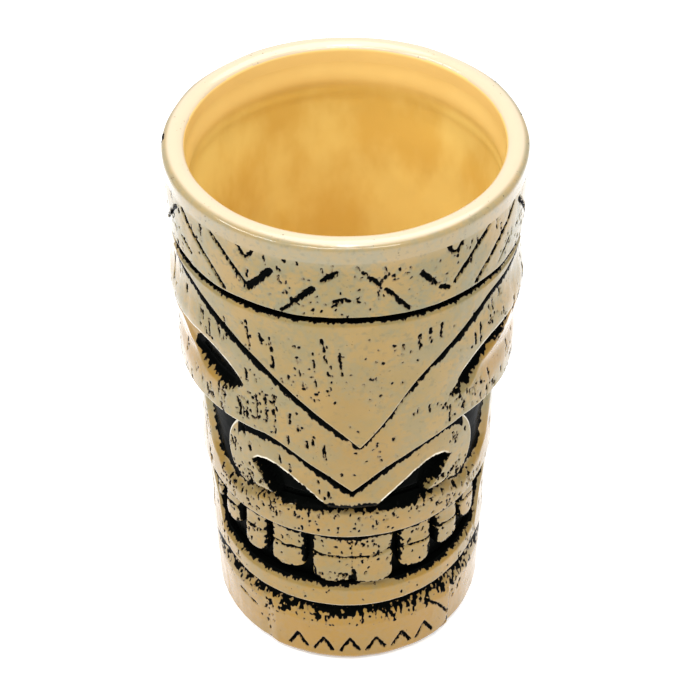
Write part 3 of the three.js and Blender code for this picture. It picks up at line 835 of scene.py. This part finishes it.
def cup_wall():
    z_up = wall_heights(2.5, LIP_LOW, 2.0)
    inside_z = z_up[z_up > 17][::-1]
    floor = [np.array([0.02]), np.linspace(6, 30, 5)]
    radii = np.concatenate([*floor, ground_radius(z_up), cavity_radius(inside_z) + 1.9, [25.2, 0.02]])
    heights = np.concatenate([np.full(6, 2.5), z_up, inside_z, [8.0, 8.0]])
    turned("cup_wall_glazed", "cup_wall", "black_wash", [WASH, CLAY], radii, heights, 1.5, {}, underside=2.6)


def foot_ring():
    outer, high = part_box("foot_ring")[1].x / M, high_of("foot_ring")
    inner, corner = outer - 6.6, 0.5
    near, far, low, top = inner + corner, outer - corner, corner, high - corner
    corners = (((far, low), 270), ((far, top), 0), ((near, top), 90), ((near, low), 180))
    loops = [arc(centre, corner, start, start + 90, 4) for centre, start in corners]
    radii, heights = (np.concatenate(part) for part in zip(*loops))

    def wobble(t, r, z):
        return 0.08 * noise(t, z, 8, 3, 41), 0 * r

    turned("foot_ring_clay", "foot_ring", "bare_clay", [CLAY], radii, heights, 1.5, {}, wobble)


# ---- the mask


def level(z):
    """A straight edge at one height."""
    return lambda t: z + 0 * t


def rim_band():
    def low(t):
        return RIM_LOW + 0.1 + 1.8 * bump(t, -74, 18) + 0.2 * noise(t, t * 0, 9, 30, 51)

    member(
        "rim_band", "glazed_mask", GLAZE, [stations(-180, 180)[:-1]], low, level(LIP_LOW),
        shape=lambda f: 44.75 + 0.25 * smooth(f.z, 130, 148) - rounded(f.low, 0.45),
        wash=lambda f: -0.15 - f.low + 0.25 * ragged(f, 53),
        amber=lambda f: 0.4 * noise(f.t, f.z, 25, 14, 52) - 0.4,
        # pale line with a painted highlight along the band's lower edge, strongest round the sides
        edge=lambda f: 0.7 * smooth(np.abs(middle_angle(f.t)), 12, 45) * bright(f.low, 0.5),
        cream=lambda f: 0.25 * smooth(f.z, 142, 148), step=0.4, ring=True,
    )


def face_radius(t, z):
    """The brow's front and, past the eyes' inner corners, the rolls of brow and eye down each side."""
    front = 44.0 + 0.2 * smooth(z, 100, 128) - 0.6 * smooth(-z, -92, -72)
    side = 43.9 + 1.4 * bump(z, 113, 6) - 0.9 * bump(z, 100, 3.5)
    share = smooth(np.abs(t), 30, 60)
    return front * (1 - share) + side * share


def top_edge(f, seed):
    """The crisp top of the face under the rim band, with wash in the groove."""
    return 0.1 - f.high + 0.45 * ragged(f, seed)


def forehead_plate():
    def ledge(f):
        return 0.2 + 0.8 * smooth(f.a, 3, 20)

    def shape(f):
        return face_radius(f.t, f.z) + ledge(f) * (0.5 - rounded(f.low, 0.6)) - dipped(f.high, 0.5, 1.0)

    member(
        "forehead_plate", "glazed_mask", GLAZE, [stations(-76, 76, 0.38)],
        low=lambda t: notch_line(t) + 0.1, high=level(FACE_TOP), shape=shape, wash=lambda f: top_edge(f, 61),
        amber=lambda f: 0.5 * bump(np.hypot(f.t * 0.73, f.z - 104), 0, 18),
        edge=lambda f: 0.55 * ledge(f) * bright(f.low, 0.5),
    )


def brow_band():
    """The V between the eyes and an arm over each of them."""
    arm = stations(BROW_INNER + 0.001, FACE_SIDE, 0.4)  # just past the V, with a lower edge of its own

    def low(t):
        return np.where(np.abs(t) <= BROW_INNER, bridge_line(t), brow_line(t))

    def high(t):
        return notch_line(t) + (FACE_TOP - notch_line(t)) * smooth(np.abs(t), 75, 76) - 0.1

    def crisp_low(f):
        arm_share = smooth(f.a, BROW_INNER, 40) * (1 - smooth(f.a, 74, 90))
        return np.where(f.a[:, :1] <= BROW_INNER, 1, arm_share)

    def shape(f):
        dip = dipped(f.high, 0.6 * smooth(f.a, 4, 22), 1.2)
        return face_radius(f.t, f.z) - crisp_low(f) * rounded(f.low, 0.55) - dip - side_round(f)

    def wash(f):
        width = through(
            f.t, (-76, 1.8), (-55, 2.3), (-40, 2.3), (-12, 1.6), (-6, 1.1), (-3, 1.1), (-1, 0.1), (1, 0.5),
            (6, 0.4), (9, 0), (11, 0.6), (17, 0.7), (24, 1.4), (38, 2.2), (55, 2.3), (76, 1.8),
        )
        groove = width - f.high + 0.55 * ragged(f, 63)
        return np.where(f.a < 76, groove, top_edge(f, 65))

    def edge(f):
        wider = 0.6 + 0.5 * smooth(f.a, 36, 42)
        return (0.35 + 0.6 * smooth(f.a, 14, 40)) * crisp_low(f) * bright(f.low, wider)

    spans = [-arm[::-1], stations(-BROW_INNER, BROW_INNER, 0.38), arm]
    member(
        "brow_band", "glazed_mask", GLAZE, spans, low, high, shape, wash,
        amber=lambda f: 0.7 * bump(f.t, 0, 24) * bump(f.z, 86, 14) + 0.3 * smooth(f.a, 70, 100), edge=edge,
    )


def socket_line(t):
    """The lower edge of the black hollow over each eye's inner corner."""
    left = (37, 102.5), (40, 99.6), (44, 97.8), (54, 98.2), (59, 99.3), (62, 101.2), (64, 104), (66, 112)
    right = (
        (36, 97), (39, 96.6), (43, 97.8), (46, 99.4), (49, 102.4), (54, 103.8), (58, 105.4), (62, 109),
        (65, 112),
    )
    return np.where(t < 0, through(-t, *left), through(t, *right))


def eye(side, name):
    def hollow(f):
        return smooth(f.z - socket_line(f.t), -1.2, 2.0) * smooth(f.a, 37.6, 40) * (1 - smooth(f.a, 59, 67))

    def shape(f):
        return face_radius(f.t, f.z) - 2.3 * hollow(f) - rounded(f.low, 0.7) - side_round(f)

    def wash(f):
        outer = through(f.z, (102, 63.7), (107, 61.2), (112, 60))
        inside = np.minimum(f.z - socket_line(f.t), (outer - f.a) * MM_PER_DEG)
        return np.where(f.a < 72, inside + 0.9 * ragged(f, 71), -INK_FAR)

    angles = stations(BROW_INNER, FACE_SIDE, 0.4)
    member(
        f"{name}_eye", "amber_glaze", AMBER_GLAZE, [angles if side > 0 else -angles[::-1]],
        low=bridge_line, high=brow_line, shape=shape, wash=wash,
        amber=lambda f: 0.8 * smooth(f.z, 90, 97) * smooth(f.a, 40, 54),
        edge=lambda f: 0.9 * bright(f.low, 0.8),
    )


def nose():
    ends = NOSE_SHOULDER + (NOSE_REACH - NOSE_SHOULDER) * np.sin(np.radians(np.linspace(0, 90, 40)))
    angles = np.concatenate([-ends[::-1], np.arange(-38.7, 38.8, 0.36), ends])

    def outline(f):
        """Distance in from the outline, which is an ellipse round each wing."""
        u = np.maximum(f.a - NOSE_SHOULDER, 0) / (NOSE_REACH - NOSE_SHOULDER)
        top, low = nose_top(np.full(1, NOSE_SHOULDER))[0] - NOSE_MIDDLE, NOSE_MIDDLE - NOSE_LOW
        wide, tall = (NOSE_REACH - NOSE_SHOULDER) * MM_PER_DEG, np.where(f.z > NOSE_MIDDLE, top, low)
        v = (f.z - NOSE_MIDDLE) / tall
        rho = np.hypot(u, v) + 1e-6
        wing = np.maximum(1 - rho, 0) * rho / np.hypot(u / wide, v / tall)
        return np.where(f.a > NOSE_SHOULDER, wing, np.minimum(f.low, f.high))

    def hollow(f):
        ends_in = np.minimum(f.a - 9, 38 - f.a) * MM_PER_DEG
        return np.minimum(nostril_top(f.t) - f.z, f.z - nostril_low(f.t)), ends_in

    def shape(f):
        inside, ends_in = hollow(f)
        depth = 3.2 * smooth(inside, -0.1, 0.8) * smooth(ends_in, -0.2, 1.2)
        tip = 0.6 * bump(f.t, 0, 9) * bump(f.z, 68, 4)
        body = 42.3 - 0.9 * smooth(f.a, 4, 46) - 0.5 * smooth(f.z, 78, 88) + tip
        low_roll = 0.8 * (1 - smooth(f.low, 0, 2.5)) * (f.a < NOSE_SHOULDER)
        return body - depth - low_roll - rounded(outline(f), 0.8)

    def wash(f):
        inside, ends_in = hollow(f)
        torn = 0.9 * smooth(NOSE_MIDDLE - f.z, -1, 4) * ragged(f, 75)
        nostril = np.minimum(inside + 0.1 + torn, ends_in + 0.4)
        width = through(
            f.t, (-45, 3.6), (-36, 3.7), (-28, 2.7), (-20, 1.4), (-8, 1.2), (-4, 0.7), (4, 0.7), (8, 1.0),
            (20, 1.2), (30, 1.9), (38, 2.9), (45, 3.4),
        )
        top = np.where(f.high < f.low, pool(f, 1.8, 1.7, width) + 0.45 * ragged(f, 76), -INK_FAR)
        under = 0.8 + 1.9 * (1 - smooth(f.a, 8, 12)) - f.low + 0.7 * ragged(f, 77)
        under = np.where((f.z < NOSE_MIDDLE) & (f.a < 45), under, -INK_FAR)
        return np.maximum(np.maximum(nostril, np.where(f.a < 44, top, -INK_FAR)), under)

    def edge(f):
        # pale lines with a painted highlight: round the wings' outline and along each nostril's upper edge
        rim = bright(outline(f), 0.8) * smooth(f.a, 38, 42)
        lid = bump(f.z - nostril_top(f.t), 0.35, 0.3) * (f.a > 10) * (f.a < 37)
        return np.maximum(rim, lid)

    member(
        "nose", "glazed_mask", GLAZE, [angles], nose_bottom, nose_top, shape, wash,
        amber=lambda f: 0.15 + 0.35 * bump(f.a, 0, 30), edge=edge, step=0.3,
    )


def lower_face(f):
    """The upper lip and the cheeks beside it, which are one smooth swelling."""
    front = 1 - smooth(f.a, 36, 70)
    return 39.3 + 0.9 * front * bump(f.z, 56, 8) - 1.7 * smooth(crescent(f.t, f.z), -2.6, 1.0)


def cheek(side, name):
    inner, outer = 47.2, 50.8
    tail, ball = np.linspace(inner, outer, 12), stations(outer, FACE_SIDE, 0.4)

    def high(t):
        a = np.abs(t)
        under_wing = nose_bottom(np.minimum(a, 49.2)) - 0.25 - 0.3 * (outer - a)
        return np.where(a <= outer, under_wing, bridge_line(t) - 0.1)

    def shape(f):
        return lower_face(f) - side_round(f)

    def wash(f):
        return crescent(f.t, f.z) + 0.8 * ragged(f, 81) + 0.35 * noise(f.t * 0.3, f.z, 1.5, 0.9, 82)

    spans = [tail, ball] if side > 0 else [-ball[::-1], -tail[::-1]]
    member(
        f"{name}_cheek", "amber_glaze", AMBER_GLAZE, spans,
        low=level(MOUTH_HIGH - 0.1), high=high, shape=shape, wash=wash,
        amber=lambda f: 0.6 - 0.9 * smooth(f.z, 66, 78) * (1 - smooth(f.a, 80, 100)),
    )


def upper_lip():
    def shape(f):
        under_nose = 0.7 * smooth(f.z, 60.4, 62.3) * (1 - smooth(f.a, 40, 47))
        corner = 1 - smooth(f.a, 70, 80)
        return lower_face(f) - under_nose - corner * rounded(f.low, 0.7) - side_round(f)

    def wash(f):
        width = through(f.a, (0, 1.6), (10, 1.8), (12, 2.2), (24, 2.2), (28, 1.6), (44, 1.2), (50, 0.8))
        top = np.where(f.a < 50, width - f.high + 0.8 * ragged(f, 85), -INK_FAR)
        return np.maximum(top, crescent(f.t, f.z) - 0.4 + 0.8 * ragged(f, 87))

    member(
        "upper_lip", "glazed_mask", GLAZE, [stations(-FACE_SIDE, FACE_SIDE, 0.4)],
        upper_lip_line, lambda t: MOUTH_HIGH + 0.3 * (1 - smooth(np.abs(t), 46, 47.2)), shape, wash,
        amber=lambda f: 0.55 + 0.2 * smooth(f.a, 45, 70),
        edge=lambda f: 0.8 * bright(f.low, 0.7) * (f.a < 72), step=0.35,
    )


def tooth(name, start, end, bottom, crease):
    middle, half = (start + end) / 2, (end - start) / 2
    inner = -np.sign(middle) if name.endswith("_1") else 0

    def off(t):
        share = np.clip((t - middle) / half, -1, 1)
        return np.where(share * inner > 0, 0.75 * share, share)

    def low(t):
        return bottom + 3.0 * (1 - np.sqrt(1 - 0.97 * off(t) ** 2)) + 0.3 * noise(t, t * 0, 2.2, 30, 91)

    def from_rim(f):
        """Distance in from the black rim, which leaves out the side that touches the tooth beside it."""
        joined = (f.t - middle) * inner > 0
        return np.minimum(np.where(joined, f.side + 1.1 * smooth(f.z - bottom, 0.8, 3), f.side), f.low)

    def fold(f):
        sag = 1.2 * (f.t / 16) ** 2 if inner else 0
        return f.z - crease - sag - 0.4 * noise(f.t, f.t * 0, 3, 30, 92)

    def shape(f):
        sides = np.where((f.t - middle) * inner > 0, 0, 1) * rounded(f.side, 1.0)
        body = 38.9 - 0.4 * np.abs(off(f.t)) ** 3 - 0.25 * smooth(f.z, crease, crease + 3)
        return body - sides - rounded(f.low, 1.0) - 0.45 * bump(fold(f), 0, 0.4)

    def wash(f):
        line = 0.3 - np.abs(fold(f)) + 0.4 * noise(f.t, f.z, 1.6, 0.8, 93)
        rim = 0.7 - from_rim(f) + 1.0 * noise(f.t, f.z, 1.1, 0.8, 94)
        return np.maximum(np.maximum(line, rim), 1.9 + 0.7 * bump(f.t, 0, 7) - f.high + 0.5 * ragged(f, 96))

    member(
        name, "glazed_mask", GLAZE, [np.linspace(start, end, max(12, round((end - start) / 0.35)))],
        low, lambda t: upper_lip_line(t) + 0.1, shape, wash, amber=lambda f: 0.5, step=0.35,
    )


def lower_lip():
    def shape(f):
        mouth = 1 - smooth(f.a, 66, 76)
        front = 1 - smooth(f.a, 34, 72)
        body = 37.9 + 0.8 * front + 0.5 * (1 - front) * smooth(f.z, 40, 50)
        chin = rounded(f.low, 0.8) * (1 - smooth(f.a, 60, 74))
        return body - 1.5 * mouth * (1 - smooth(f.high, 0, 2.2)) ** 1.5 - chin - side_round(f)

    def wash(f):
        width = 0.8 - 1.8 * bump(f.t, 9, 6)
        return np.where(f.a < 73, width - f.high + 0.5 * ragged(f, 95), -INK_FAR)

    member(
        "lower_lip", "amber_glaze", AMBER_GLAZE, [stations(-FACE_SIDE, FACE_SIDE, 0.4)],
        chin_line, lower_lip_line, shape, wash, amber=lambda f: 0.6 - 0.4 * smooth(f.z, 36, 50),
        edge=lambda f: 0.9 * bright(f.low, 0.8) * (1 - smooth(f.a, 60, 72)),
    )


def back_panel():
    def shape(f):
        lean = 37.6 + 6.5 * (f.z - BACK_LOW) / 104 + 0.35 * noise(f.t, f.z, 12, 40, 98)
        return lean - rounded(f.low, 0.9) - dipped(f.high, 0.8, 1.0) - rounded(f.side, 1.1)

    member(
        "back_panel", "glazed_mask", GLAZE, [stations(BACK_START, 360 - BACK_START)],
        level(BACK_LOW), level(FACE_TOP), shape, lambda f: top_edge(f, 97),
        amber=lambda f: 0.35 + 0.4 * noise(f.t, f.z, 22, 26, 98), edge=lambda f: 0.6 * bright(f.side, 1.1),
        step=0.6,
    )


# ---- the base


def middle_angle(t):
    return (t + 180) % 360 - 180


def chin_above(t):
    """The lower edge of whatever stands over the base."""
    turned_to = middle_angle(t)
    return np.where(np.abs(turned_to) < FACE_SIDE + 1, chin_line(turned_to), BACK_LOW) - 0.2


def base_radius(f):
    a = np.abs(middle_angle(f.t))
    foot = 1.0 * (1 - smooth(f.z, BASE_LOW, BASE_LOW + 2.2)) ** 2
    groove = 1.9 * smooth(f.z, 17.5, 22.5) * (1 - smooth(a, 50, 80))
    return 36.9 + 0.6 * smooth(f.z, 2, 20) + 0.3 * (1 - smooth(a, 40, 70)) - groove - foot


def base_wash(f):
    """Black in the groove under the chin, breaking up into blobs further down."""
    a = np.abs(middle_angle(f.t))
    solid = through(a, (0, 3.4), (30, 3.5), (50, 4.0), (60, 4.6), (72, 4.0), (82, 0.6), (180, 0.5))
    broken = through(a, (0, 8.6), (25, 8.8), (40, 9.4), (64, 10.5), (76, 9), (86, 1.2), (180, 1))
    share = np.clip((f.high - solid) / np.maximum(broken - solid, 0.5), 0, 1)
    cells = 0.8 * noise(f.t, f.z, 1.1, 0.9, 102) + 0.5 * noise(f.t, f.z, 1.8, 2.6, 103)
    inside = 0.7 * (solid - f.high) + 0.35 * ragged(f, 104)
    blobs = cells + 0.35 - 1.1 * share - 2 * (share >= 1)
    return np.where(f.high < solid, np.maximum(inside, cells + 0.3), blobs)


def base_band():
    member(
        "base_band", "amber_glaze", AMBER_GLAZE, [stations(PLAQUE[1], 360 + PLAQUE[0])],
        level(BASE_LOW), chin_above, base_radius, base_wash,
        amber=lambda f: 0.9 - 0.3 * smooth(f.z, 14, 20), step=0.4,
    )


def base_plaque():
    def shape(f):
        left, right = (f.t - PLAQUE[0]) * MM_PER_DEG, (PLAQUE[1] - f.t) * MM_PER_DEG
        across = smooth(left, 0, 4) * smooth(right, 0, 1.2)
        return base_radius(f) + 0.6 * across * (1 - smooth(f.z, 15.5, 18.5))

    member(
        "base_plaque", "amber_glaze", AMBER_GLAZE, [stations(*PLAQUE, 0.4)],
        level(BASE_LOW), chin_above, shape, base_wash,
        amber=lambda f: 1.0 - 0.2 * smooth(f.z, 16, 20), step=0.4,
    )


foot_ring()
cup_wall()
glaze_lining()
mouth_lip()
rim_band()
forehead_plate()
brow_band()
nose()
upper_lip()
lower_lip()
for side, name in ((-1, "left"), (1, "right")):
    eye(side, name)
    cheek(side, name)
for name, size in TEETH.items():
    tooth(name, *size)
back_panel()
base_band()
base_plaque()


# ---- floor, light and camera


def floor():
    mesh = bpy.data.meshes.new("floor")
    far = 6.0
    mesh.from_pydata([(-far, -far, 0), (far, -far, 0), (far, far, 0), (-far, far, 0)], [], [(0, 1, 2, 3)])
    obj = bpy.data.objects.new("floor", mesh)
    bpy.context.scene.collection.objects.link(obj)
    n = Nodes("floor_white")
    n.set("Base Color", n.mix(n.ramp(n.noise(3, 2), 0.3, 0.7), srgb(250, 251, 254), srgb(254, 254, 255)))
    n.set("Roughness", 0.6)
    n.fill(n.shader.inputs["Emission Color"], srgb(244, 249, 255))
    n.set("Emission Strength", 0.4)
    mesh.materials.append(n.material)


def add_light(name, kind, place, aim, power, **settings):
    data = bpy.data.lights.new(name, kind)
    data.energy = power
    for key, value in settings.items():
        setattr(data, key, value)
    obj = bpy.data.objects.new(name, data)
    obj.location = place
    obj.rotation_euler = (Vector(aim) - Vector(place)).to_track_quat("-Z", "Y").to_euler()
    bpy.context.scene.collection.objects.link(obj)


def lights():
    world = bpy.data.worlds.new("studio")
    bpy.context.scene.world = world
    world.use_nodes = True
    sky = world.node_tree.nodes["Background"]
    sky.inputs["Color"].default_value = (1.0, 1.0, 1.0, 1)
    sky.inputs["Strength"].default_value = 0.85
    add_light("overhead", "AREA", (0.15, 0.35, 1.3), (0, 0, 0.08), 7, shape="DISK", size=1.0)
    into_cup = 2 * math.atan2(0.037, 1.35)
    add_light(
        "into_cup", "SPOT", (0, 0, 1.5), (0, 0, 0), 66, spot_size=into_cup, spot_blend=0.5,
        shadow_soft_size=0.02,
    )
    for name, place, power, size in (
        ("front_strip", (0, -0.62, 1.28), 8, 1.0),
        ("left_strip", (-0.72, -0.18, 1.03), 4, 0.7),
    ):
        add_light(name, "AREA", place, (0, 0, 0.15), power, shape="RECTANGLE", size=size, size_y=0.05)
    bpy.context.scene.view_settings.view_transform = "Standard"


def camera():
    data = bpy.data.cameras.new("camera")
    data.lens, data.sensor_width = 108.0, 36.0
    data.shift_x = 0.0044
    obj = bpy.data.objects.new("camera", data)
    bpy.context.scene.collection.objects.link(obj)
    tall = CAD_BOX[1].z
    away, above = 2.768 * tall, 2.952 * tall
    turn, down, roll = (math.radians(angle) for angle in (-1.5, 41.08, -0.35))
    place = Matrix.Translation((away * math.sin(turn), -away * math.cos(turn), above))
    aim = Matrix.Rotation(turn, 4, "Z") @ Matrix.Rotation(math.pi / 2 - down, 4, "X")
    obj.matrix_world = place @ aim @ Matrix.Rotation(roll, 4, "Z")
    bpy.context.scene.camera = obj


floor()
lights()
camera()
